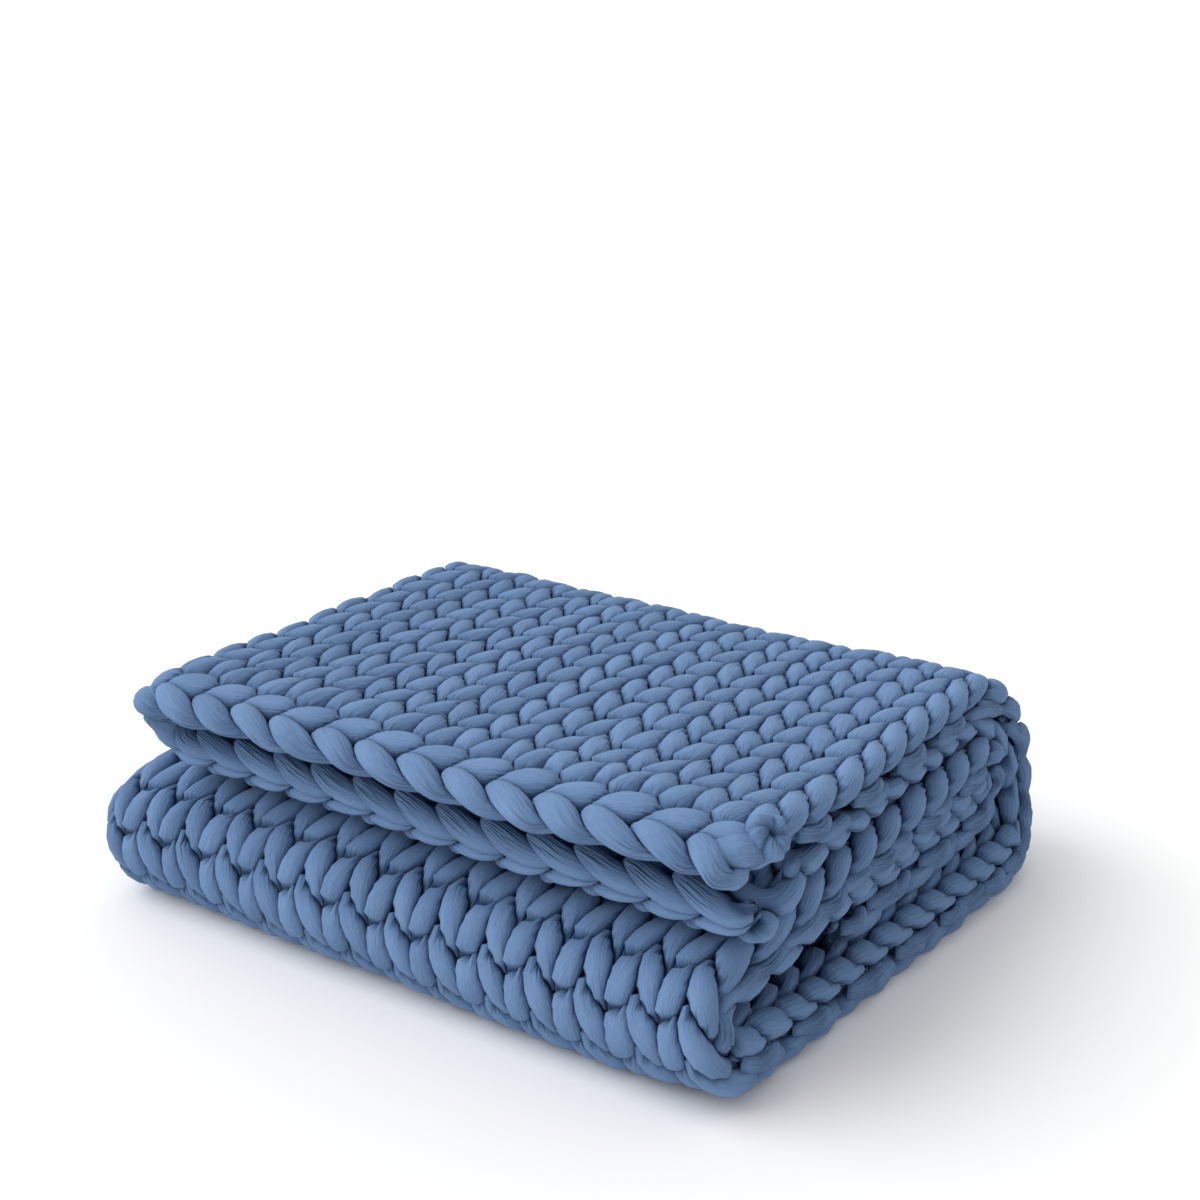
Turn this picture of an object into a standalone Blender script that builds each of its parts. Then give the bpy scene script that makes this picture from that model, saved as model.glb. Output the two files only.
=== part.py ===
"""Weighted blanket, hand-knitted in one piece from thick stuffed jersey yarn, and folded.

The flat blanket is doubled from side to side, so that one fold lies at the left and both
selvedges lie at the right. The doubled cloth is then rolled flat from its cast-on end: it
ends inside, and its bind-off edge lies on top at the front.

Frame: metres, +X to the right along the front edge, -Y to the front, +Z up. The origin is
the middle of the footprint, on the surface that the blanket lies on.
"""

import math
from collections import namedtuple

import bmesh
import bpy

COLLECTION = "weighted_blanket"
NODE = "knit_blanket"

# Driving dimensions: where the middle of the doubled cloth starts, at the bind-off edge.
START_Y = -0.230
START_HEADING = math.radians(6)

# The doubled cloth from the bind-off edge to the cast-on edge. A run is a straight or an arc:
#   length  along the middle of the doubled cloth
#   turn    degrees that the run turns by, clockwise seen from the right
# and, at the end of the run:
#   left    X of the side fold
#   right   X of the two selvedges
#   apart   between the middles of the two layers
#   layer   thickness of one knitted layer
Run = namedtuple("Run", "name length turn left right apart layer")
RUNS = [
    Run("bind_off_edge", 0.000, 0, -0.304, 0.298, 0.050, 0.030),
    Run("front_lip", 0.085, 7.5, -0.308, 0.300, 0.030, 0.028),
    Run("top", 0.296, 2, -0.306, 0.292, 0.028, 0.026),
    Run("back_upper", 0.134, 74.5, -0.310, 0.302, 0.026, 0.025),
    Run("back_lower", 0.095, 102, -0.314, 0.322, 0.0240, 0.0230),
    Run("bottom", 0.416, 0, -0.330, 0.288, 0.0240, 0.0230),
    Run("front_fold", 0.079, 160, -0.344, 0.280, 0.0245, 0.0235),
    Run("middle_rise", 0.098, 0, -0.324, 0.298, 0.0240, 0.0230),
    Run("middle_crest", 0.030, 20, -0.312, 0.302, 0.0235, 0.0225),
    Run("middle", 0.276, 0, -0.308, 0.304, 0.0235, 0.0225),
    Run("inner_fold", 0.074, 180, -0.300, 0.298, 0.0235, 0.0225),
    Run("inner", 0.255, 0, -0.300, 0.290, 0.0235, 0.0225),
]

# How finely the cloth is divided.
STRAIGHT_STEP = 0.030
BEND_STEP = math.radians(15)
LAYER_COLUMNS = 8
SIDE_FOLD_STEPS = 6

# The pile settles unevenly. It leans up to the right, and its height swells and dips. Both are
# shares of the height, the lean for each metre to the right.
SETTLE_LEAN = 0.06
SETTLE_WAVE = 0.014
SETTLE_LONG = 0.47
SETTLE_SHORT = 0.29

YARN_BLUE = (0.090, 0.165, 0.305, 1.0)
YARN_ROUGHNESS = 0.9

Station = namedtuple("Station", "y z heading left right apart layer")


def clear_scene():
    for thing in list(bpy.data.objects):
        bpy.data.objects.remove(thing, do_unlink=True)


def ease(share):
    return share * share * (3 - 2 * share)


def stations_of(runs):
    """Places along the middle of the doubled cloth, with its widths and thicknesses there."""
    y, z, heading = START_Y, 0.0, START_HEADING
    places = []
    before = runs[0]
    for run in runs[1:]:
        turn = -math.radians(run.turn)
        steps = max(2, round(run.length / STRAIGHT_STEP), round(abs(turn) / BEND_STEP))
        first = 0 if before is runs[0] else 1
        for step in range(first, steps + 1):
            share = step / steps
            now = heading + turn * share
            if turn:
                radius = run.length / turn
                at_y = y + radius * (math.sin(now) - math.sin(heading))
                at_z = z - radius * (math.cos(now) - math.cos(heading))
            else:
                at_y = y + run.length * share * math.cos(heading)
                at_z = z + run.length * share * math.sin(heading)
            blend = ease(share)
            sizes = [a + (b - a) * blend for a, b in zip(before[3:], run[3:])]
            places.append(Station(at_y, at_z, now, *sizes))
        y, z, heading, before = at_y, at_z, now, run
    return places


def cross_section(place):
    """Across the doubled cloth: (x, offset) of the middle of the cloth, from the selvedge of
    the outer layer round the side fold to the selvedge of the inner layer."""
    reach = place.apart / 2
    fold_x = place.left + reach + place.layer / 2
    flat = [
        place.right + (fold_x - place.right) * column / LAYER_COLUMNS
        for column in range(LAYER_COLUMNS + 1)
    ]
    outer = [(x, reach) for x in flat]
    inner = [(x, -reach) for x in reversed(flat)]
    bend = []
    for step in range(1, SIDE_FOLD_STEPS):
        angle = math.pi * step / SIDE_FOLD_STEPS
        bend.append((fold_x - reach * math.sin(angle), reach * math.cos(angle)))
    return outer + bend + inner


def settled(x, y, z, base):
    """Heights above the base lean, swell and dip over the pile. The base stays flat."""
    swell = math.cos(x / SETTLE_LONG * math.tau) * math.cos(y / SETTLE_LONG * math.tau)
    ripple = math.sin((x + 0.6 * y) / SETTLE_SHORT * math.tau)
    share = SETTLE_LEAN * x + SETTLE_WAVE * (0.6 * swell + 0.4 * ripple)
    return base + (z - base) * (1 + share)


def cloth_surface(places):
    """The middle surface of the cloth as an open sheet. Returns its mesh and, for each of its
    points, the thickness of the layer there."""
    base = min(p.z - p.apart / 2 * abs(math.cos(p.heading)) for p in places)
    shape = bmesh.new()
    rows = []
    thickness = []
    for place in places:
        normal_y = -math.sin(place.heading)
        normal_z = math.cos(place.heading)
        row = []
        for x, offset in cross_section(place):
            y = place.y + offset * normal_y
            z = settled(x, y, place.z + offset * normal_z, base)
            row.append(shape.verts.new((x, y, z)))
            thickness.append(place.layer)
        rows.append(row)
    for near, far in zip(rows, rows[1:]):
        for left, right in zip(range(len(near) - 1), range(1, len(near))):
            shape.faces.new((near[left], near[right], far[right], far[left]))
    mesh = bpy.data.meshes.new(NODE)
    shape.to_mesh(mesh)
    shape.free()
    return mesh, thickness


def yarn_material():
    material = bpy.data.materials.new("blue_jersey_yarn")
    material.use_nodes = True
    shader = material.node_tree.nodes["Principled BSDF"]
    shader.inputs["Base Color"].default_value = YARN_BLUE
    shader.inputs["Roughness"].default_value = YARN_ROUGHNESS
    shader.inputs["Metallic"].default_value = 0.0
    material.diffuse_color = YARN_BLUE
    return material


def stand_on_origin(blanket):
    """Moves the mesh so that its box is centred on the origin and its underside is at Z 0."""
    graph = bpy.context.evaluated_depsgraph_get()
    solid = blanket.evaluated_get(graph).to_mesh()
    low = [min(v.co[axis] for v in solid.vertices) for axis in range(3)]
    high = [max(v.co[axis] for v in solid.vertices) for axis in range(3)]
    shift = ((low[0] + high[0]) / 2, (low[1] + high[1]) / 2, low[2])
    blanket.evaluated_get(graph).to_mesh_clear()
    for vertex in blanket.data.vertices:
        for axis in range(3):
            vertex.co[axis] -= shift[axis]


def knit_blanket(collection):
    mesh, thickness = cloth_surface(stations_of(RUNS))
    blanket = bpy.data.objects.new(NODE, mesh)
    collection.objects.link(blanket)
    blanket.data.materials.append(yarn_material())
    thickest = max(thickness)
    group = blanket.vertex_groups.new(name="layer_thickness")
    for index, layer in enumerate(thickness):
        group.add([index], layer / thickest, "REPLACE")
    shell = blanket.modifiers.new("layer", "SOLIDIFY")
    shell.thickness = thickest
    shell.offset = 0
    shell.vertex_group = group.name
    shell.use_even_offset = True
    shell.use_quality_normals = True
    stand_on_origin(blanket)
    blanket.data.shade_smooth()
    return blanket


def build():
    clear_scene()
    collection = bpy.data.collections.new(COLLECTION)
    bpy.context.scene.collection.children.link(collection)
    knit_blanket(collection)


build()
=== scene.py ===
import math
from collections import namedtuple

import bpy
import numpy as np
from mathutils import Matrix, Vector


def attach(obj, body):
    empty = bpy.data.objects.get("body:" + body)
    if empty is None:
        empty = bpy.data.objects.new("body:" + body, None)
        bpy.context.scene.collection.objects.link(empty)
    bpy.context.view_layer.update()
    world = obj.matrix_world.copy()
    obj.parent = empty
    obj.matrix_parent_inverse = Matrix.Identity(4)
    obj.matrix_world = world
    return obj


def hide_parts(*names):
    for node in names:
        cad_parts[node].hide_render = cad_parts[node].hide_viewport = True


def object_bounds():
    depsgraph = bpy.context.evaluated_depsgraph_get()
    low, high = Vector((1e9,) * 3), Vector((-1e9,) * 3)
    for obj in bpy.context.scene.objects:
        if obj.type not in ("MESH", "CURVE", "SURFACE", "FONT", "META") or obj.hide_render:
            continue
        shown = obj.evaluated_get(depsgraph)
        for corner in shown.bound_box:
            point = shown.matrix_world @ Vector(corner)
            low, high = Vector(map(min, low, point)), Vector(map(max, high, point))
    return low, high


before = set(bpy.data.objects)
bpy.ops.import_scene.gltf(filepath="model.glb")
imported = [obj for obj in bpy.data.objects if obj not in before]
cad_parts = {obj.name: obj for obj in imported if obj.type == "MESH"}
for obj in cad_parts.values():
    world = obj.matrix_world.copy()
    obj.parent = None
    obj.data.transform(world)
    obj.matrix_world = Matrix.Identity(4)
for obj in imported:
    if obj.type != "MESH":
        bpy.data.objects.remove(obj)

cad_low, cad_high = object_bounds()


# ---------------------------------------------------------------------------------------------
# The sheet of painted shade.
# The blanket is one piece of stockinette, doubled from side to side and rolled flat from its
# cast-on end. This thin closed sheet runs at half the depth of the knitting through every fold.
# It is no cloth of the blanket: its near-black blue is painted shade, seen where one looks between the
# loops into the deep gaps.

Run = namedtuple("Run", "name length turn left right apart layer")
RUNS = [
    Run("bind_off_edge", 0.000, 0, -0.290, 0.298, 0.050, 0.030),
    Run("front_lip", 0.085, 7.5, -0.300, 0.300, 0.030, 0.028),
    Run("top", 0.296, 2, -0.306, 0.292, 0.028, 0.026),
    Run("back_upper", 0.134, 74.5, -0.310, 0.302, 0.026, 0.025),
    Run("back_lower", 0.095, 102, -0.314, 0.322, 0.0240, 0.0230),
    Run("bottom", 0.416, 0, -0.330, 0.298, 0.0240, 0.0230),
    Run("front_fold", 0.079, 160, -0.344, 0.280, 0.0245, 0.0235),
    Run("middle_rise", 0.098, 0, -0.324, 0.298, 0.0240, 0.0230),
    Run("middle_crest", 0.030, 20, -0.312, 0.302, 0.0235, 0.0225),
    Run("middle", 0.276, 0, -0.308, 0.304, 0.0235, 0.0225),
    Run("inner_fold", 0.074, 180, -0.300, 0.298, 0.0235, 0.0225),
    Run("inner", 0.255, 0, -0.300, 0.290, 0.0235, 0.0225),
]
START_Y = -0.230
START_HEADING = math.radians(6)
PATH_STEP = 0.002
# How far over the middle of a layer the yarn keeps its length through every bend.
CREST_HEIGHT = 0.012


def ease(share):
    """A share from 0 to 1 that starts and ends smoothly."""
    share = np.clip(share, 0.0, 1.0)
    return share * share * (3 - 2 * share)


def folded_path():
    """The middle of the doubled cloth: columns along, y, z, heading, left, right, apart, layer,
    bend, outer and inner. The last two measure along the outer and the inner layer."""
    rows = []
    y, z, heading, along, before = START_Y, 0.0, START_HEADING, 0.0, RUNS[0]
    outer = inner = 0.0
    # The first row only holds the sizes at the bind-off edge.
    for run in RUNS[1:]:
        turn = -math.radians(run.turn)
        bend = turn / run.length
        steps = max(4, round(run.length / PATH_STEP))
        for step in range(0 if before is RUNS[0] else 1, steps + 1):
            share = step / steps
            now = heading + turn * share
            if turn:
                at_y = y + (math.sin(now) - math.sin(heading)) / bend
                at_z = z - (math.cos(now) - math.cos(heading)) / bend
            else:
                at_y = y + run.length * share * math.cos(heading)
                at_z = z + run.length * share * math.sin(heading)
            blend = float(ease(share))
            sizes = [a + (b - a) * blend for a, b in zip(before[3:], run[3:])]
            reach = sizes[2] / 2
            if step:
                outer += run.length / steps * (1 - bend * (reach + CREST_HEIGHT / 2))
                inner += run.length / steps * (1 + bend * reach)
            rows.append([along + run.length * share, at_y, at_z, now, *sizes, bend, outer, inner])
        y, z, heading, before = at_y, at_z, now, run
        along += run.length
    return dict(zip("along y z heading left right apart layer bend outer inner".split(),
                    np.array(rows).T))


path = folded_path()
path_base = (path["z"] - path["apart"] / 2 * np.abs(np.cos(path["heading"]))).min()

WALES = 28
ROWS = 48
row_outer = path["outer"][-1] / ROWS
row_inner = path["inner"][-1] / ROWS

# How the pile has settled: higher to the right, with a broad swell and a finer slanting ripple.
SETTLE_LEAN = 0.06
SETTLE_WAVE = 0.014
SETTLE_LONG = 0.47
SETTLE_SHORT = 0.29
SETTLE_SLANT = 0.6
SWELL_SHARE = 0.6


def settled(x, y, z):
    """Heights in the settled pile."""
    swell = np.cos(x / SETTLE_LONG * math.tau) * np.cos(y / SETTLE_LONG * math.tau)
    ripple = np.sin((x + SETTLE_SLANT * y) / SETTLE_SHORT * math.tau)
    share = SETTLE_LEAN * x + SETTLE_WAVE * (SWELL_SHARE * swell + (1 - SWELL_SHARE) * ripple)
    return path_base + (z - path_base) * (1 + share)


def path_offset():
    """What centres the footprint of the folded cloth on the frame's origin, as its solid is."""
    reach = (path["apart"] + path["layer"]) / 2
    y = path["y"] - reach * np.sin(path["heading"])
    return np.array([
        (cad_low.x + cad_high.x) / 2 - (path["left"].min() + path["right"].max()) / 2,
        (cad_low.y + cad_high.y) / 2 - (y.min() + y.max()) / 2,
        cad_low.z - (path_base - path["layer"].min() / 2),
    ])


offset_to_frame = path_offset()

# The furthest that an edge turns as it rolls, the least radius inside it, and the turn over
# which that radius comes in.
MOST_ROLL = 1.5
LEAST_REACH = 0.0008
EASED_TURN = 0.4


def roll(along, height, start, radius, most=MOST_ROLL):
    """Rolls what lies before start towards the wrong side, as a selvedge of stockinette does."""
    unstretched = radius + CREST_HEIGHT
    angle = np.clip((start - along) / unstretched, 0, most)
    rolled = along < start
    beyond = np.where(rolled, (start - along) - angle * unstretched, 0)
    reach = radius + height
    reach = reach + (np.maximum(reach, LEAST_REACH) - reach) * ease(angle / EASED_TURN)
    at = np.where(rolled, start - reach * np.sin(angle) - beyond * np.cos(angle), along)
    off = np.where(rolled, reach * np.cos(angle) - radius - beyond * np.sin(angle), height)
    return at, off


# Each roll is where it starts and its radius. The inner layer's edge at the lip also lies
# further forward and droops.
EDGE_ROLL = (0.022, 0.040)
OUTER_LIP_ROLL = (-0.020, 0.018)
INNER_LIP_ROLL = (0.022, 0.010)
INNER_LIP_FORWARD = 0.013
INNER_LIP_TURN = 1.22
INNER_CHAIN_SIZE = 0.62
INNER_LIP_DROOP = 0.014
DROOP_LENGTH = 0.110
SIDE_FOLD_WALES = 1.4

# The loops are pressed flatter than in a loose cloth, the wrong side most.
LOOP_CREST = 0.0243
CREST_RISE = 0.0038
MEAN_PRESS = 0.68
PRESS_CHANGE = 0.17
PRESS_BLEND = 0.005
FREE_ROWS = 3

# The right end of the front fold is lifted a little, over this span of x and along the cloth.
CORNER_LIFT = 0.009
CORNER_FROM = 0.18
CORNER_SPAN = 0.10
CORNER_ALONG = 0.07
FRONT_FOLD_SHARE = 0.2
run_names = [run.name for run in RUNS]
front_fold = run_names.index("front_fold")
front_fold_at = (sum(run.length for run in RUNS[:front_fold])
                 + RUNS[front_fold].length * FRONT_FOLD_SHARE)

FLOOR_SOFTNESS = 0.0012
TIGHTEST_SHARE = 0.93
TINY = 1e-6
NO_LIMIT = 9.0


def lay(wale, row, height):
    """Places on the folded cloth: wale counts from the outer selvedge round the side fold to the
    inner one, row from the bind-off edge, and height is from the middle of the layer towards
    its knit side, in an unpressed cloth."""
    wale, row, height = np.broadcast_arrays(wale, row, height)
    inner = ease((wale - WALES / 2) / SIDE_FOLD_WALES + 0.5)
    out_at = row * row_outer
    in_at = row * row_inner * np.where(row < 0, INNER_CHAIN_SIZE, 1)
    pressed = np.interp(out_at, path["outer"], path["layer"])
    firm = PRESS_CHANGE * ease(row / FREE_ROWS)
    height = (pressed / 2 + CREST_RISE + (MEAN_PRESS + PRESS_CHANGE - firm) * (height - LOOP_CREST)
              + firm * (np.hypot(height, PRESS_BLEND) - np.hypot(LOOP_CREST, PRESS_BLEND)))
    out_at, out_height = roll(out_at, height, *OUTER_LIP_ROLL)
    in_at, in_height = roll(in_at, height, *INNER_LIP_ROLL, most=INNER_LIP_TURN)
    in_at = in_at - INNER_LIP_FORWARD * (1 - ease(row / FREE_ROWS))
    in_height = in_height + INNER_LIP_DROOP * (1 - ease(in_at / DROOP_LENGTH))
    height = out_height + (in_height - out_height) * inner
    s_out = np.where(out_at < 0, out_at, np.interp(out_at, path["outer"], path["along"]))
    s_in = np.where(in_at < 0, in_at, np.interp(in_at, path["inner"], path["along"]))
    s = s_out + (s_in - s_out) * inner
    at = {key: np.interp(s, path["along"], path[key]) for key in path if key != "along"}
    past = s - np.clip(s, path["along"][0], path["along"][-1])
    reach = at["apart"] / 2
    fold_x = at["left"] + reach + at["layer"] / 2
    flat = at["right"] - fold_x
    round_fold = reach + CREST_HEIGHT
    bend_length = math.pi * round_fold
    total = 2 * flat + bend_length
    u = wale / WALES * total
    from_edge, height = roll(np.minimum(u, total - u), height, *EDGE_ROLL)
    u = np.where(u < total / 2, from_edge, total - from_edge)
    angle = np.clip((u - flat) / round_fold, 0, math.pi)
    spread = np.maximum(reach + height, LEAST_REACH)
    x = fold_x - spread * np.sin(angle)
    x = np.where(u < flat, at["right"] - u, x)
    x = np.where(u > flat + bend_length, fold_x + (u - flat - bend_length), x)
    off = np.where(u < flat, reach + height, spread * np.cos(angle))
    off = np.where(u > flat + bend_length, -(reach + height), off)
    bends = at["bend"] < -TINY
    tightest = np.where(bends, TIGHTEST_SHARE / np.maximum(-at["bend"], TINY), NO_LIMIT)
    off = np.maximum(off, -tightest)
    heading = at["heading"]
    y = at["y"] + past * np.cos(heading) - off * np.sin(heading)
    z = at["z"] + past * np.sin(heading) + off * np.cos(heading)
    corner = ease((x - CORNER_FROM) / CORNER_SPAN) * np.exp(-((s - front_fold_at) / CORNER_ALONG) ** 2)
    z = settled(x, y, z) + CORNER_LIFT * corner
    place = np.stack([x, y, z], -1) + offset_to_frame
    lift = place[..., 2] - cad_low.z
    place[..., 2] = cad_low.z + (lift + np.sqrt(lift ** 2 + FLOOR_SOFTNESS ** 2)) / 2
    return place


def mesh_piece(name, points, faces, material, uv=None, marks=None):
    """One object from points and faces, turned so that its faces look outward."""
    mesh = bpy.data.meshes.new(name)
    corners = points[faces[:, :3]]
    volume = np.einsum("ij,ij->i", corners[:, 0], np.cross(corners[:, 1], corners[:, 2])).sum()
    if volume < 0:
        faces = faces[:, ::-1]
        uv = None if uv is None else uv[:, ::-1]
    mesh.vertices.add(len(points))
    mesh.vertices.foreach_set("co", points.astype(np.float32).ravel())
    mesh.loops.add(faces.size)
    mesh.loops.foreach_set("vertex_index", faces.astype(np.int32).ravel())
    mesh.polygons.add(len(faces))
    starts = np.arange(0, faces.size, faces.shape[1], dtype=np.int32)
    mesh.polygons.foreach_set("loop_start", starts)
    mesh.update(calc_edges=True)
    if uv is not None:
        layer = mesh.uv_layers.new(name="yarn")
        layer.data.foreach_set("uv", uv.astype(np.float32).ravel())
    for mark, values in (marks or {}).items():
        attribute = mesh.attributes.new(mark, "FLOAT", "POINT")
        attribute.data.foreach_set("value", values.astype(np.float32))
    mesh.validate()
    mesh.shade_smooth()
    mesh.materials.append(material)
    piece = bpy.data.objects.new(name, mesh)
    bpy.context.scene.collection.objects.link(piece)
    return piece


GROUND_THICKNESS = 0.0018
GROUND_INSET = 0.6
GROUND_START = 1.6
GROUND_GRID = (190, 85)
# Painted shade: the sheet is coloured as the deep shadow between the loops, not as a cloth.
GROUND_PAINTED_SHADE = (0.012, 0.024, 0.048, 1.0)
GROUND_ROUGHNESS = 0.95


def plain_finish(name, colour, roughness):
    material = bpy.data.materials.new(name)
    material.use_nodes = True
    shader = material.node_tree.nodes["Principled BSDF"]
    shader.inputs["Base Color"].default_value = colour
    shader.inputs["Roughness"].default_value = roughness
    return material


def painted_shade_sheet():
    """A closed grid: the knit side and the wrong side of the sheet, joined round its rim."""
    wales = np.linspace(GROUND_INSET, WALES - GROUND_INSET, GROUND_GRID[1])
    rows = np.linspace(GROUND_START, ROWS - GROUND_INSET, GROUND_GRID[0])
    half = GROUND_THICKNESS / 2 / MEAN_PRESS
    grid_row, grid_wale = np.meshgrid(rows, wales, indexing="ij")
    upper = lay(grid_wale, grid_row, half).reshape(-1, 3)
    lower = lay(grid_wale, grid_row, -half).reshape(-1, 3)
    across = len(wales)
    count = len(upper)
    index = np.arange(count).reshape(len(rows), across)
    quads = np.stack([index[:-1, :-1], index[:-1, 1:], index[1:, 1:], index[1:, :-1]], -1)
    quads = quads.reshape(-1, 4)
    rim = np.concatenate([index[0], index[1:, -1], index[-1, -2::-1], index[-2:0:-1, 0]])
    after = np.roll(rim, -1)
    sides = np.stack([rim, rim + count, after + count, after], 1)
    faces = np.concatenate([quads, quads[:, ::-1] + count, sides])
    return mesh_piece("painted_shade_sheet", np.concatenate([upper, lower]), faces,
                      plain_finish("painted_shade_ground", GROUND_PAINTED_SHADE, GROUND_ROUGHNESS))


ground = painted_shade_sheet()
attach(ground, "root")


# ---------------------------------------------------------------------------------------------
# The courses.
# One continuous tube of stuffed cotton jersey, about 21 mm thick, hand-knitted in stockinette.
# Every stitch is a loop whose two arms lie on the knit side and press against their neighbours,
# and the yarn turns back at the selvedges.

WALE = 0.0436
ROW = 0.0395
CHAIN_ROW = -0.40
FIRST_ROW = 0.72
COURSES = 47
LOOP_DEPTH = 0.0090
CREASE_GAP = 0.0005
CREASE_SOFTNESS = 0.0005
LEAST_SHARE = 0.3
FULL_PRESS = 0.35
LEAST_FACING = 0.1
NEAR_LENGTH = 0.030
AROUND = 20
FINE_STEPS = 26
PATTERN_STEPS = 52

# A stitch from the sinker behind it, up one arm, over the head and down the other arm: wale,
# row, height in loop depths, radius. The first arm lies over the second at its foot, and under
# the neighbour's at its head.
ARM_LEAN = 0.10
STITCH = np.array((
    (0.00, 0.84, -1.00, 0.0090),
    (0.16, 0.90, -0.62, 0.0092),
    (0.31, 0.72, 0.55, 0.0100),
    (0.35, 0.40, 0.98, 0.0120),
    (0.29, 0.06, 1.05, 0.0130),
    (0.20, -0.28, 0.98, 0.0128),
    (0.14, -0.58, 0.55, 0.0108),
    (0.24, -0.82, -0.50, 0.0092),
    (0.50, -0.90, -1.00, 0.0090),
    (0.77, -0.86, -0.25, 0.0102),
    (0.87, -0.60, 0.80, 0.0124),
    (0.82, -0.26, 1.05, 0.0132),
    (0.735, 0.08, 1.02, 0.0128),
    (0.66, 0.44, 0.85, 0.0106),
    (0.66, 0.78, 0.30, 0.0076),
    (0.82, 0.94, -0.72, 0.0080),
)) * (1, 1, LOOP_DEPTH, 1)
STITCH[:, 0] += ARM_LEAN * STITCH[:, 1]


def along_points(points, advance, t):
    """A smooth curve through points that repeat, moved by advance after each period t = 1."""
    count = len(points)
    at = t * count
    start = np.floor(at).astype(int)
    part = (at - start)[:, None]

    def point(offset):
        index = start + offset
        return points[index % count] + (index // count)[:, None] * np.asarray(advance)

    a, b, c, d = (point(offset) for offset in (-1, 0, 1, 2))
    return b + part / 2 * (c - a + part * (2 * a - 5 * b + 4 * c - d + part * (3 * (b - c) + d - a)))


def yarn_route(points, advance, t):
    """(route in metres, radii) of a repeating stretch of yarn."""
    found = along_points(points, (*advance, 0, 0), t)
    return found[:, :3] * (WALE, ROW, 1), found[:, 3]


def frames_along(route):
    """At each point of a route: the direction towards the knit side, and the one beside it."""
    along = np.gradient(route, axis=0)
    along /= np.linalg.norm(along, axis=1)[:, None]
    up = np.array([0, 0, 1.0]) - along * along[:, 2:3]
    up /= np.linalg.norm(up, axis=1)[:, None]
    return up, np.cross(along, up)


def ring_ways(route, around=AROUND):
    up, beside = frames_along(route)
    angles = np.arange(around) / around * math.tau
    return np.cos(angles)[None, :, None] * up[:, None] + np.sin(angles)[None, :, None] * beside[:, None]


def pressed_rings(route, radii, others, other_radii, far):
    """Rings round a route, flattened where they meet other stretches of yarn, and how far each
    point is pressed in, which the material turns into painted shade in the creases. far marks, for each
    ring, which of the others count."""
    ways = ring_ways(route)
    apart = others[None] - route[:, None]
    square = (apart ** 2).sum(-1)
    weight = square + radii[:, None] ** 2 - other_radii[None] ** 2
    toward = np.einsum("nad,nmd->nam", ways, apart)
    meets = (toward > LEAST_FACING * np.sqrt(square)[:, None]) & far[:, None]
    limit = np.where(meets, weight[:, None] / (2 * np.maximum(toward, TINY)), 1.0).min(-1)
    limit = np.maximum(limit - CREASE_GAP, LEAST_SHARE * radii[:, None])
    size = -CREASE_SOFTNESS * np.logaddexp(-limit / CREASE_SOFTNESS, -radii[:, None] / CREASE_SOFTNESS)
    # How far each point is pressed in; the material darkens the yarn by it as painted shade in the
    # creases.
    press = np.clip((1 - size / radii[:, None]) / FULL_PRESS, 0, 1)
    return route[:, None] + ways * size[..., None], press


def pressed_pattern(points, advance, steps, neighbours):
    """Rings of one period of yarn as (wale, row, height), pressed by its neighbours, and how far
    they are pressed. A neighbour is (points, advance, first, last, shift), its periods first to
    last moved by shift."""
    margin = 4
    fine = np.arange(-margin, steps + margin) / steps
    route, radii = yarn_route(points, advance, fine)
    whole = yarn_route(points, advance, np.linspace(0, 1, 99))[0]
    length = np.linalg.norm(np.diff(whole, axis=0), axis=1).sum()
    others, sizes, marks = [], [], []
    for other, other_advance, first, last, shift in neighbours:
        t = first + np.arange((last - first + 1) * PATTERN_STEPS) / PATTERN_STEPS
        other_route, other_radii = yarn_route(other, other_advance, t)
        others.append(other_route + np.array(shift) * (WALE, ROW, 1))
        sizes.append(other_radii)
        marks.append(t if other is points and not any(shift) else np.full(len(t), np.inf))
    far = np.abs(np.concatenate(marks)[None] - fine[:, None]) * length > NEAR_LENGTH
    rings, press = pressed_rings(route, radii, np.concatenate(others), np.concatenate(sizes), far)
    return rings[margin:-margin] / (WALE, ROW, 1), press[margin:-margin]


# A link of the chain along the bind-off edge, in the same terms: its upper arm, back behind
# the edge to its lower arm, and behind that arm to the next link.
CHAIN = np.array((
    (0.00, 0.04, -0.45, 0.0096),
    (-0.16, 0.14, 0.45, 0.0112),
    (-0.45, 0.24, 1.00, 0.0124),
    (-0.80, 0.34, 1.12, 0.0122),
    (-1.12, 0.44, 0.85, 0.0102),
    (-1.38, 0.46, 0.15, 0.0076),
    (-1.52, 0.20, -0.75, 0.0078),
    (-1.54, -0.18, -1.00, 0.0082),
    (-1.46, -0.50, -0.60, 0.0090),
    (-1.20, -0.62, 0.20, 0.0104),
    (-0.88, -0.50, 0.88, 0.0120),
    (-0.52, -0.30, 1.08, 0.0124),
    (-0.20, -0.12, 0.75, 0.0114),
    (-0.08, 0.00, -0.30, 0.0094),
    (-0.42, 0.02, -1.15, 0.0086),
    (-0.75, 0.04, -1.05, 0.0088),
)) * (1, 1, LOOP_DEPTH, 1)
CHAIN_STEPS = 44


def course_neighbours(first_wale, last_wale, first_row, last_row):
    """The stretches of yarn in these wales and rows, counted from the stitch they press on."""
    rows = range(first_row, last_row + 1)
    return [(STITCH, (1, 0), first_wale, last_wale, (0, row, 0)) for row in rows]


def chain_beside(shift):
    return (CHAIN, (-1, 0), -3, 3, shift)


# A stitch inside a course, and the first and the last one, in the edge course and in the others.
patterns = {
    (kind, edge): pressed_pattern(
        STITCH, (1, 0), FINE_STEPS,
        course_neighbours(first, last, 0 if edge else -2, 2)
        + ([chain_beside((0, CHAIN_ROW - FIRST_ROW, 0))] if edge else []))
    for kind, first, last in (("inside", -2, 2), ("first", 0, 2), ("last", -2, 0))
    for edge in (False, True)
}

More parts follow.
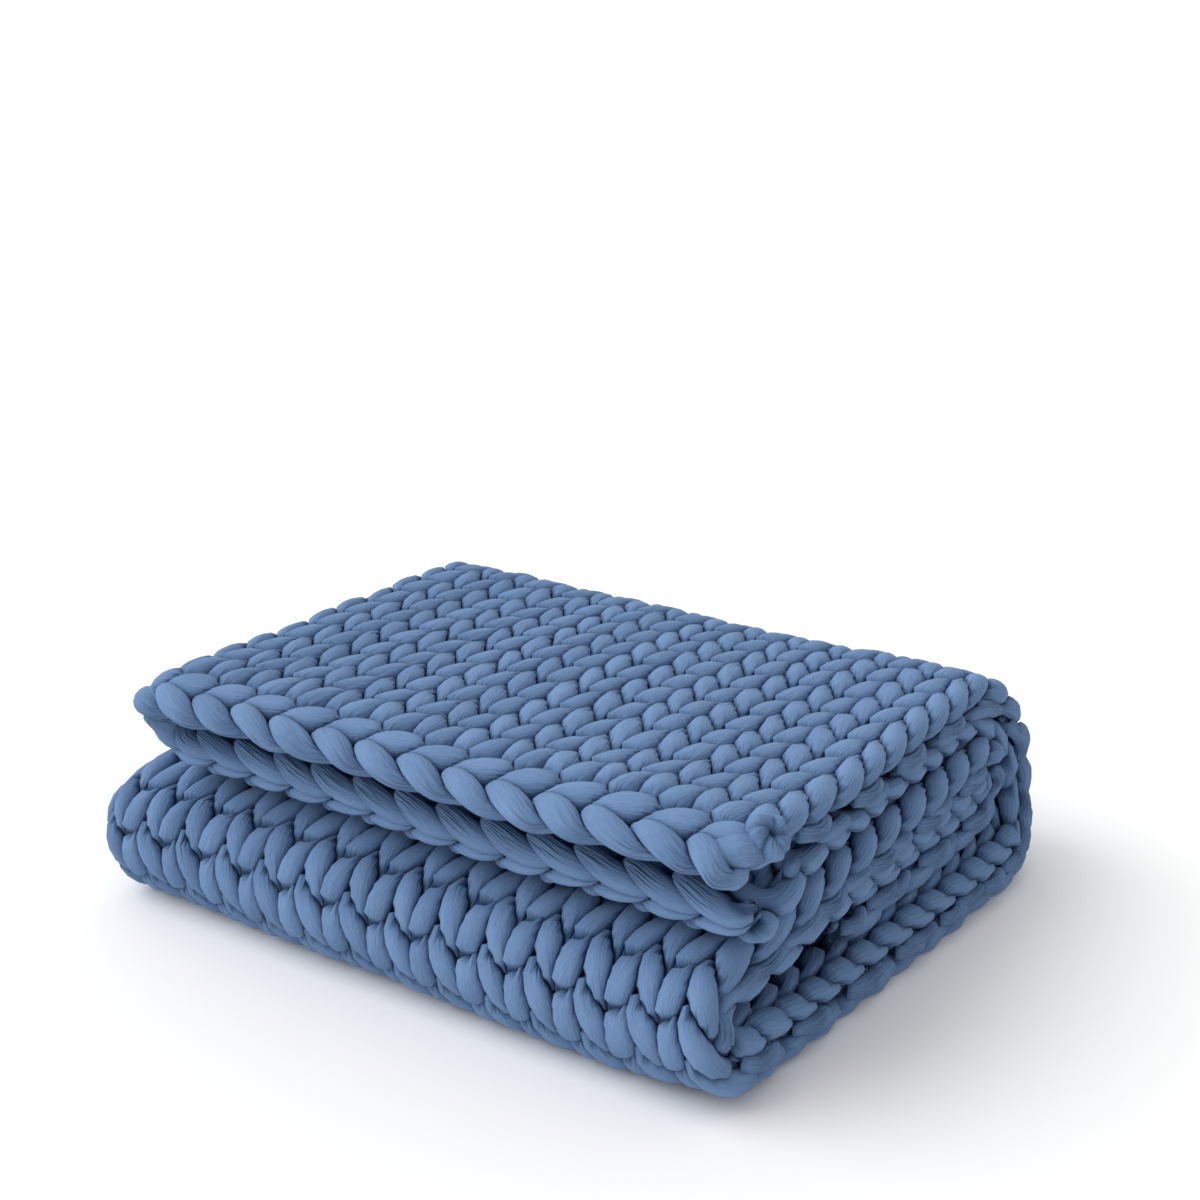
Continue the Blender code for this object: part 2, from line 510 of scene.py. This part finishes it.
JITTER_WALE = 0.055
JITTER_ROW = 0.075
JITTER_HEIGHT = 0.0012
ARM_SWING = 0.065
PLEAT_DEPTH = 0.055
unevenness = np.random.default_rng(11)
jitter_grid = unevenness.uniform(-1, 1, (3, WALES + 9, ROWS + 9))
arm_sizes = unevenness.uniform(-1, 1, (COURSES, 4 * WALES + 5))
pleat_phases = unevenness.uniform(0, math.tau, (COURSES, WALES, 2, 2))


def jitter(wale, row):
    """How far a place in the knitting strays, changing smoothly from stitch to stitch."""
    wale, row = np.broadcast_arrays(wale + 3.5, row + 3.5)
    wale = np.clip(wale, 0, WALES + 7.999)
    row = np.clip(row, 0, ROWS + 7.999)
    i, j = wale.astype(int), row.astype(int)
    p, q = ease(wale - i), ease(row - j)
    g = jitter_grid
    near = g[:, i, j] * (1 - p) + g[:, i + 1, j] * p
    far = g[:, i, j + 1] * (1 - p) + g[:, i + 1, j + 1] * p
    mixed = near * (1 - q) + far * q
    return mixed[0] * JITTER_WALE, mixed[1] * JITTER_ROW, mixed[2] * JITTER_HEIGHT


def lay_rings(rings):
    """Rings in (wale, row, height) laid on the folded cloth."""
    wale, row, height = np.moveaxis(rings, -1, 0)
    stray_wale, stray_row, stray_height = jitter(wale, row)
    return lay(wale + stray_wale, row + stray_row, height + stray_height)


PINCH_LENGTH = 0.075


def strand(rings, press, along, tight_spots):
    """What yarn_piece needs of rings in (wale, row, height). tight_spots are (t, how tight) within
    each stitch."""
    apart = (along[:, None] - tight_spots[:, 0] + 0.5) % 1 - 0.5
    pinch = (np.exp(-(apart / PINCH_LENGTH) ** 2) * tight_spots[:, 1]).sum(1)
    return lay_rings(rings), along, np.minimum(pinch, 1), press


def tube_faces(first, count, around):
    """Quads of a tube whose rings start at point first."""
    ring = np.arange(around)
    after = np.roll(ring, -1)
    start = first + np.arange(count - 1)[:, None] * around
    quads = np.stack([start + ring, start + after, start + around + after, start + around + ring], -1)
    return quads.reshape(-1, 4)


def tube_uv(along, around):
    """UV of the quads from tube_faces: U along the yarn in stitches, V once round it, with its
    seam away from the knit side."""
    v = np.roll(np.arange(around) / around, around // 2)
    next_v = v + 1 / around
    near = along[:-1, None] + 0 * v
    far = along[1:, None] + 0 * v
    u = np.stack([near, near, far, far], -1)
    w = np.broadcast_to(np.stack([v, next_v, next_v, v], -1), u.shape)
    return np.stack([u, w], -1).reshape(-1, 4, 2)


def end_caps(first, count, around):
    """Quads that close both ends of a tube across its ring."""
    faces = []
    for start, flip in ((first, True), (first + (count - 1) * around, False)):
        low, high = start, start + around - 1
        while high - low > 1:
            quad = [low, low + 1, high - 1, high]
            faces.append(quad[::-1] if flip else quad)
            low, high = low + 1, high - 1
    return np.array(faces)


def yarn_piece(name, strands, material):
    """Closed tubes of yarn joined as one piece. A strand is (rings in place, along, pinch of
    each ring, press of each point). The press darkens the colour as painted shade in the creases."""
    points, faces, uvs, pinches, press_shades, first = [], [], [], [], [], 0
    for rings, along, pinch, press in strands:
        count, around = rings.shape[:2]
        points.append(rings.reshape(-1, 3))
        pinches.append(np.repeat(pinch, around))
        press_shades.append(press.ravel())
        caps = end_caps(first, count, around)
        faces += [tube_faces(first, count, around), caps]
        uvs += [tube_uv(along, around), np.full((len(caps), 4, 2), along[0])]
        first += count * around
    # The press mark carries painted shade for the creases into the material.
    piece = mesh_piece(name, np.concatenate(points), np.concatenate(faces), material,
                       np.concatenate(uvs),
                       {"pinch": np.concatenate(pinches), "press": np.concatenate(press_shades)})
    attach(piece, "root")
    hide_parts("knit_blanket")
    return piece


COURSE_TIGHT_SPOTS = np.array(((0.13, 0.8), (0.38, 0.45), (0.62, 0.4), (0.86, 1.0)))
TURN_STEPS = 7
TURN_BULGE = 0.30
TURN_RISE = 0.6


def selvedge_turn(row, side):
    """Rings of the yarn turning back from one course to the next behind the selvedge."""
    share = np.linspace(0, 1, TURN_STEPS + 2)[1:-1]
    lift = np.sin(share * math.pi)
    wale = -lift * TURN_BULGE if side == 0 else WALES + lift * TURN_BULGE
    route = np.stack([wale * WALE, (row + STITCH[0][1] + (1 - np.cos(share * math.pi)) / 2) * ROW,
                      -LOOP_DEPTH * (1 - TURN_RISE * lift)], -1)
    rings = route[:, None] + ring_ways(route) * STITCH[0][3]
    return rings / (WALE, ROW, 1)


# Courses of the outer layer that show from outside, those of the lip, which show on both
# layers, and the first of those whose selvedges show at the open side of the pile.
SHOWN_COURSES = (*range(18), *range(26, 35))
LIP_COURSES = 3
OPEN_SIDE_COURSE = 26


def steps_for(wale, row):
    """Every how many rings of the pattern a stitch keeps: all where it shows."""
    from_selvedge = min(wale, WALES - 1 - wale)
    from_fold = abs(wale - (WALES - 1) / 2)
    shown = wale < WALES / 2 and row in SHOWN_COURSES
    if shown or row < LIP_COURSES or (from_selvedge < 2 and row >= OPEN_SIDE_COURSE):
        return 1
    return 2 if from_selvedge < 3 or from_fold < 2 else 4


ARM_FEET = (0.14, 0.86)
FOOT_LENGTH = 0.085


def pleats(t, phases):
    """Shares of the radius by which the jersey puckers round the foot of each arm."""
    angle = np.arange(AROUND) / AROUND * math.tau
    shares = 0
    for foot, (slow, fast) in zip(ARM_FEET, phases):
        near = np.exp(-((t - foot) / FOOT_LENGTH) ** 2)[:, None]
        shares = shares + near * (np.cos(3 * angle + slow) + np.cos(5 * angle + fast)) * PLEAT_DEPTH
    return shares


def course(row):
    """One course from selvedge to selvedge, with its turn to the next one."""
    rings, press_shades, along = [], [], []
    sizes = arm_sizes[row]
    for wale in range(WALES):
        kind = "first" if wale == 0 else "last" if wale == WALES - 1 else "inside"
        keep = np.arange(0, FINE_STEPS, steps_for(wale, row))
        t = keep / FINE_STEPS
        place = np.array([wale, row + FIRST_ROW, 0.0])
        middle = along_points(STITCH, (1, 0, 0, 0), t)[:, None, :3] + place
        swing = np.interp(t * 4, np.arange(5), sizes[4 * wale:4 * wale + 5]) * ARM_SWING
        grow = 1 + swing[:, None] + pleats(t, pleat_phases[row, wale])
        shape, press = patterns[kind, row == 0]
        rings.append(middle + (shape[keep] + place - middle) * grow[..., None])
        press_shades.append(press[keep])
        along.append(wale + t)
    if row < COURSES - 1:
        side = row % 2
        turn = selvedge_turn(row + FIRST_ROW, side)
        press_shades.insert(0 if side == 0 else len(press_shades), np.zeros(turn.shape[:2]))
        if side == 0:
            rings.insert(0, turn[::-1])
            along.insert(0, np.arange(-len(turn), 0) / FINE_STEPS)
        else:
            rings.append(turn)
            along.append(WALES + np.arange(len(turn)) / FINE_STEPS)
    return strand(np.concatenate(rings), np.concatenate(press_shades), np.concatenate(along),
                  COURSE_TIGHT_SPOTS)


YARN_LIGHT = (0.153, 0.255, 0.443, 1.0)
# The dark end serves both the yarn's uneven tone and the painted shade in its creases and folds.
YARN_DARK_AND_CREASE_SHADE = (0.012, 0.040, 0.105, 1.0)
YARN_ROUGHNESS = 0.92
YARN_SPECULAR = 0.12
SHEEN_WEIGHT = 0.03
SHEEN_ROUGHNESS = 0.55
OPEN_SHADE = 0.38
# Painted shade: how far the colour falls towards the dark end where the arms press together in creases.
PRESS_PAINTED_SHADE = 1.0
# Painted shade: how far the colour falls along the folds of the puckers.
PUCKER_PAINTED_SHADE = 0.30
PUCKER_DEPTH = 0.0110
GRAIN_DEPTH = 0.00040
SWELLING_DEPTH = 0.0010
# Each noise in the jersey: how often it changes along a stitch and around the yarn, and detail.
GRAIN = (30, 90, 2)
THREADS = (190, 60, 1)
PUCKERS = (6, 15, 1.5)
SWELLING = (5, 3, 1)


def value_node(tree, operation, first, second):
    """The output of a Math node. A value is a number or a socket."""
    node = tree.nodes.new("ShaderNodeMath")
    node.operation = operation
    for socket, value in zip(node.inputs, (first, second)):
        if isinstance(value, (int, float)):
            socket.default_value = value
        else:
            tree.links.new(value, socket)
    return node.outputs[0]


def stretched_noise(tree, along, around, along_scale, around_scale, detail):
    """Noise that runs on without a seam round the tube."""
    place = tree.nodes.new("ShaderNodeCombineXYZ")
    angle = value_node(tree, "MULTIPLY", around, math.tau)
    tree.links.new(value_node(tree, "MULTIPLY", along, along_scale), place.inputs[0])
    for operation, socket in (("COSINE", place.inputs[1]), ("SINE", place.inputs[2])):
        turned = value_node(tree, operation, angle, 0)
        tree.links.new(value_node(tree, "MULTIPLY", turned, around_scale / math.tau), socket)
    noise = tree.nodes.new("ShaderNodeTexNoise")
    noise.inputs["Scale"].default_value = 1.0
    noise.inputs["Detail"].default_value = detail
    tree.links.new(place.outputs[0], noise.inputs["Vector"])
    return noise.outputs["Fac"]


def jersey_group():
    """The tube's jersey: its lengthwise grain, the puckers where it is pinched, and its shade: random
    tone, with painted shade where the yarn is pressed into creases and along the puckers' folds.
    """
    group = bpy.data.node_groups.new("jersey_tube", "ShaderNodeTree")
    for name in ("Along", "Around", "Pinch", "Painted crease shade"):
        group.interface.new_socket(name, in_out="INPUT", socket_type="NodeSocketFloat")
    for name in ("Shade", "Relief"):
        group.interface.new_socket(name, in_out="OUTPUT", socket_type="NodeSocketFloat")
    given = group.nodes.new("NodeGroupInput").outputs
    result = group.nodes.new("NodeGroupOutput").inputs
    along, around = given["Along"], given["Around"]
    grain = stretched_noise(group, along, around, *GRAIN)
    threads = stretched_noise(group, along, around, *THREADS)
    puckers = stretched_noise(group, along, around, *PUCKERS)
    swelling = stretched_noise(group, along, around, *SWELLING)
    ridges = value_node(group, "ABSOLUTE", value_node(group, "SUBTRACT", puckers, 0.5), 0)
    pinched = value_node(group, "MULTIPLY", ridges, given["Pinch"])
    deep = value_node(group, "MULTIPLY", pinched, PUCKER_DEPTH)
    fine = value_node(group, "MULTIPLY", value_node(group, "ADD", grain, threads), GRAIN_DEPTH)
    broad = value_node(group, "MULTIPLY", swelling, SWELLING_DEPTH)
    relief = value_node(group, "ADD", value_node(group, "ADD", deep, fine), broad)
    group.links.new(relief, result["Relief"])
    uneven = value_node(group, "ADD", value_node(group, "MULTIPLY", grain, 0.5),
                        value_node(group, "MULTIPLY", swelling, 0.5))
    # Painted shade: darker where the yarn is pressed against its neighbours in the creases.
    open_shade = value_node(group, "SUBTRACT", value_node(group, "ADD", uneven, OPEN_SHADE),
                            value_node(group, "MULTIPLY", given["Painted crease shade"], PRESS_PAINTED_SHADE))
    # Painted shade: darker along the folds of the puckers where the yarn is pinched.
    folded = value_node(group, "MULTIPLY", given["Pinch"],
                        value_node(group, "SUBTRACT", PUCKER_PAINTED_SHADE, ridges))
    shade = value_node(group, "SUBTRACT", open_shade, folded)
    shade.node.use_clamp = True
    group.links.new(shade, result["Shade"])
    return group


def jersey_yarn(group):
    """Matte cotton jersey, its colour, folds and grain from the group; the colour holds painted shade
    in the creases and the puckers' folds.
    """
    material = plain_finish("blue_jersey_yarn", YARN_LIGHT, YARN_ROUGHNESS)
    tree = material.node_tree
    shader = tree.nodes["Principled BSDF"]
    shader.inputs["Specular IOR Level"].default_value = YARN_SPECULAR
    shader.inputs["Sheen Weight"].default_value = SHEEN_WEIGHT
    shader.inputs["Sheen Roughness"].default_value = SHEEN_ROUGHNESS
    jersey = tree.nodes.new("ShaderNodeGroup")
    jersey.node_tree = group
    place = tree.nodes.new("ShaderNodeUVMap")
    place.uv_map = "yarn"
    split = tree.nodes.new("ShaderNodeSeparateXYZ")
    tree.links.new(place.outputs["UV"], split.inputs[0])
    tree.links.new(split.outputs["X"], jersey.inputs["Along"])
    tree.links.new(split.outputs["Y"], jersey.inputs["Around"])
    # The press mark feeds the painted shade of the creases.
    for mark, socket in (("pinch", "Pinch"), ("press", "Painted crease shade")):
        read = tree.nodes.new("ShaderNodeAttribute")
        read.attribute_name = mark
        tree.links.new(read.outputs["Fac"], jersey.inputs[socket])
    colour = tree.nodes.new("ShaderNodeMix")
    colour.data_type = "RGBA"
    colour.inputs["A"].default_value = YARN_DARK_AND_CREASE_SHADE
    colour.inputs["B"].default_value = YARN_LIGHT
    tree.links.new(jersey.outputs["Shade"], colour.inputs["Factor"])
    tree.links.new(colour.outputs["Result"], shader.inputs["Base Color"])
    bump = tree.nodes.new("ShaderNodeBump")
    bump.inputs["Strength"].default_value = 1.0
    bump.inputs["Distance"].default_value = 1.0
    tree.links.new(jersey.outputs["Relief"], bump.inputs["Height"])
    tree.links.new(bump.outputs["Normal"], shader.inputs["Normal"])
    return material


yarn = jersey_yarn(jersey_group())

SECTIONS = [
    ("lip_courses", 0, 5),
    ("top_courses", 5, 12),
    ("back_courses", 12, 19),
    ("under_courses", 19, 27),
    ("front_fold_courses", 27, 35),
    ("inside_courses", 35, COURSES),
]
pieces = [
    yarn_piece(name, [course(row) for row in range(first, last)], yarn)
    for name, first, last in SECTIONS
]


# ---------------------------------------------------------------------------------------------
# The bind-off chain.
# The last course is closed by a chain of loops worked in the same yarn, from the inner layer's
# selvedge round the side fold to the front corner, where the yarn ends.

LINKS = 28
LAST_LINK = 0.74
LAST_LINK_BLEND = 0.2
LAST_TURN_AT = 0.42
LAST_TURN_REACH = 0.13
FOLD_LINK_SWELL = 0.28
FOLD_LINK_REACH = 1.1
LAST_TURN_SWELL = 0.85
CHAIN_TIGHT_SPOTS = np.array(((0.03, 0.5), (0.30, 1.0), (0.57, 0.9), (0.80, 0.4)))
link_rows = (FIRST_ROW, FIRST_ROW + 1)
courses_beside = [(STITCH, (1, 0), -4, 3, (0, row - CHAIN_ROW, 0)) for row in link_rows]
chain_pattern = pressed_pattern(
    CHAIN, (-1, 0), CHAIN_STEPS, [chain_beside((0, 0, 0))] + courses_beside)
# No link follows the last one, so nothing presses its far turn.
last_link_pattern = pressed_pattern(
    CHAIN, (-1, 0), CHAIN_STEPS, [(CHAIN, (-1, 0), -3, 0, (0, 0, 0))] + courses_beside)


def chain():
    """All the links in one strand, fuller where they turn round the side fold and at the end."""
    t = np.arange(CHAIN_STEPS) / CHAIN_STEPS
    middle = along_points(CHAIN, (-1, 0, 0, 0), t)[:, None, :3]
    shape, press = chain_pattern
    last_shape, last_press = last_link_pattern
    near_turn = np.exp(-((t - LAST_TURN_AT) / LAST_TURN_REACH) ** 2)[:, None, None]
    fuller = 1 + LAST_TURN_SWELL * near_turn
    share = ease(t / LAST_LINK_BLEND)[:, None]
    last_shape = shape + (middle + (last_shape - middle) * fuller - shape) * share[..., None]
    last_press = press + (last_press - press) * share
    rings = []
    for link, one in enumerate([shape] * (LINKS - 1) + [last_shape]):
        from_fold = WALES / 2 - link - 0.5
        swell = 1 + FOLD_LINK_SWELL * math.exp(-(from_fold / FOLD_LINK_REACH) ** 2)
        rings.append(middle + (one - middle) * swell + (WALES - link, CHAIN_ROW, 0))
    rings = np.concatenate(rings)
    rings[..., 0] = np.where(rings[..., 0] < 1, 1 - (1 - rings[..., 0]) * LAST_LINK, rings[..., 0])
    along = np.arange(LINKS * CHAIN_STEPS) / CHAIN_STEPS
    press_shades = np.concatenate([press] * (LINKS - 1) + [last_press])
    return strand(rings, press_shades, along, CHAIN_TIGHT_SPOTS)


pieces.append(yarn_piece("bind_off_chain", [chain()], yarn))


# ---------------------------------------------------------------------------------------------
# The end of the yarn.
# The jersey tube is gathered shut round its cut end, which leaves a puckered knob that sits on
# the front corner, where the chain runs out.

END_WALE = -0.08
END_ROW = 0.16
END_HEIGHT = 0.0220
END_AROUND = 64
END_TILT = 0.25
END_TWIST = 1.3
END_SIZE = 0.82
END_LOBES = 5
END_WRINKLES = 11
LOBE_RADIUS = (0.10, 0.12)
LOBE_HEIGHT = 0.0042
# From under the knob over its rim to the puckered middle: radius, height.
END_PROFILE = np.array((
    (0.0130, -0.0420), (0.0150, -0.0330), (0.0152, -0.0230), (0.0168, -0.0130), (0.0186, -0.0060),
    (0.0192, 0.0000), (0.0186, 0.0046), (0.0168, 0.0080), (0.0142, 0.0100), (0.0112, 0.0108),
    (0.0080, 0.0106), (0.0052, 0.0094), (0.0030, 0.0074), (0.0012, 0.0048),
))


def gathered_end():
    """The knob: its profile turned round, with lobes that twist inward."""
    middle = lay(END_WALE, END_ROW, END_HEIGHT)
    up = lay(END_WALE, END_ROW, END_HEIGHT + 0.002) - middle
    beside = lay(END_WALE - 0.1, END_ROW, END_HEIGHT) - middle
    up, beside = up / np.linalg.norm(up), beside / np.linalg.norm(beside)
    up = up + END_TILT * (beside + np.array([0.0, -1.0, 0.0]))
    up /= np.linalg.norm(up)
    beside -= up * (beside @ up)
    beside /= np.linalg.norm(beside)
    across = np.cross(up, beside)
    angle = np.arange(END_AROUND) / END_AROUND * math.tau
    radius, height = END_PROFILE[:, :1] * END_SIZE, END_PROFILE[:, 1:] * END_SIZE
    inward = np.linspace(0, 1, len(END_PROFILE))[:, None] ** 1.5
    twisted = angle + END_TWIST * inward
    lobes = np.abs(np.cos(END_LOBES / 2 * twisted + 0.6)) ** 0.7 - 0.65
    folds = lobes + 0.25 * np.cos(3 * angle + 1.1) + 0.16 * np.cos(END_WRINKLES * twisted)
    uneven = 1 + 0.08 * np.cos(2 * angle + 0.5) + 0.05 * np.cos(angle + 2.0)
    radius = radius * uneven * (1 + (LOBE_RADIUS[0] + LOBE_RADIUS[1] * inward) * folds)
    height = height + LOBE_HEIGHT * np.sin(math.pi * np.clip(inward * 1.1 + 0.08, 0, 1)) * folds
    outward = np.cos(angle)[:, None] * beside + np.sin(angle)[:, None] * across
    rings = middle + radius[..., None] * outward + height[..., None] * up
    share = np.linspace(0, 1, len(END_PROFILE))
    # Painted shade: darker in the folds between the lobes and towards the gathered middle, passed to
    # the material as the press mark.
    painted_fold_shade = np.clip(0.1 - folds, 0, 1) * (0.15 + 0.35 * inward)
    return rings, share * 0.15, share, np.clip(painted_fold_shade + 0.35 * share[:, None] ** 8, 0, 1)


TAIL_RINGS = 30
TAIL_AROUND = 32
# From behind the chain, out between the arms of its last link and into the knob: wale, row,
# height, radius.
END_TAIL = np.array((
    (1.30, -0.30, -0.0120, 0.0080), (1.00, -0.36, -0.0090, 0.0090), (0.66, -0.44, -0.0030, 0.0115),
    (0.38, -0.44, 0.0050, 0.0130), (0.16, -0.32, 0.0090, 0.0140), (0.00, -0.10, 0.0090, 0.0130),
    (-0.08, 0.10, 0.0070, 0.0110), (-0.10, 0.30, 0.0050, 0.0090),
))


def end_tail():
    """The stretch of yarn from the last link to the knob."""
    t = np.linspace(1, len(END_TAIL) - 2, TAIL_RINGS) / len(END_TAIL)
    found = along_points(END_TAIL, (0, 0, 0, 0), t)
    route = found[:, :3] * (WALE, ROW, 1)
    rings = route[:, None] + ring_ways(route, TAIL_AROUND) * found[:, 3, None, None]
    rings = rings / (WALE, ROW, 1)
    share = np.linspace(0, 1, len(t))
    return lay_rings(rings), share, share ** 2, np.zeros(rings.shape[:2])


pieces.append(yarn_piece("gathered_yarn_end", [gathered_end(), end_tail()], yarn))


# ---------------------------------------------------------------------------------------------
# The floor, the light and the camera.
# A plain pale floor that the pile lies on, one broad soft lamp from the upper left front, and a
# pale sky, weaker at the right.

FLOOR_SIZE = 60
FLOOR_COLOUR = (0.93, 0.93, 0.93, 1)
FLOOR_ROUGHNESS = 0.8
CAMERA_PLACE = (0.884, -1.2645, 0.819)
CAMERA_AZIMUTH = math.radians(34.37)
CAMERA_PITCH = math.radians(19.92)
CAMERA_LENS = 57.4
SUN_STRENGTH = 1.5
SUN_ANGLE = math.radians(50)
SUN_FROM = (-0.60, -0.45, 0.75)
SKY_LEFT_RIGHT = (1.20, 0.55)


def studio_floor():
    bpy.ops.mesh.primitive_plane_add(size=FLOOR_SIZE, location=(0, 0, cad_low.z))
    floor = bpy.context.object
    floor.name = "floor"
    floor.data.materials.append(plain_finish("pale_floor", FLOOR_COLOUR, FLOOR_ROUGHNESS))


studio_floor()
sun = bpy.data.lights.new("soft_key_light", "SUN")
sun.energy = SUN_STRENGTH
sun.angle = SUN_ANGLE
sun_lamp = bpy.data.objects.new("soft_key_light", sun)
sun_lamp.rotation_euler = (-Vector(SUN_FROM)).to_track_quat("-Z", "Y").to_euler()
bpy.context.scene.collection.objects.link(sun_lamp)

world = bpy.context.scene.world or bpy.data.worlds.new("studio")
bpy.context.scene.world = world
world.use_nodes = True
sky = world.node_tree
direction = sky.nodes.new("ShaderNodeTexCoord")
parts = sky.nodes.new("ShaderNodeSeparateXYZ")
fade = sky.nodes.new("ShaderNodeMapRange")
for name, value in zip(("From Min", "From Max", "To Min", "To Max"), (-1, 1, *SKY_LEFT_RIGHT)):
    fade.inputs[name].default_value = value
sky.links.new(direction.outputs["Generated"], parts.inputs[0])
sky.links.new(parts.outputs["X"], fade.inputs["Value"])
sky.links.new(fade.outputs["Result"], sky.nodes["Background"].inputs["Strength"])
sky.nodes["Background"].inputs["Color"].default_value = (1, 1, 1, 1)

camera = bpy.data.objects.new("camera", bpy.data.cameras.new("camera"))
camera.data.lens = CAMERA_LENS
camera.data.sensor_width = 36
camera.location = CAMERA_PLACE
camera.rotation_euler = (math.pi / 2 - CAMERA_PITCH, 0, CAMERA_AZIMUTH)
bpy.context.scene.collection.objects.link(camera)
bpy.context.scene.camera = camera
bpy.context.scene.view_settings.view_transform = "Standard"

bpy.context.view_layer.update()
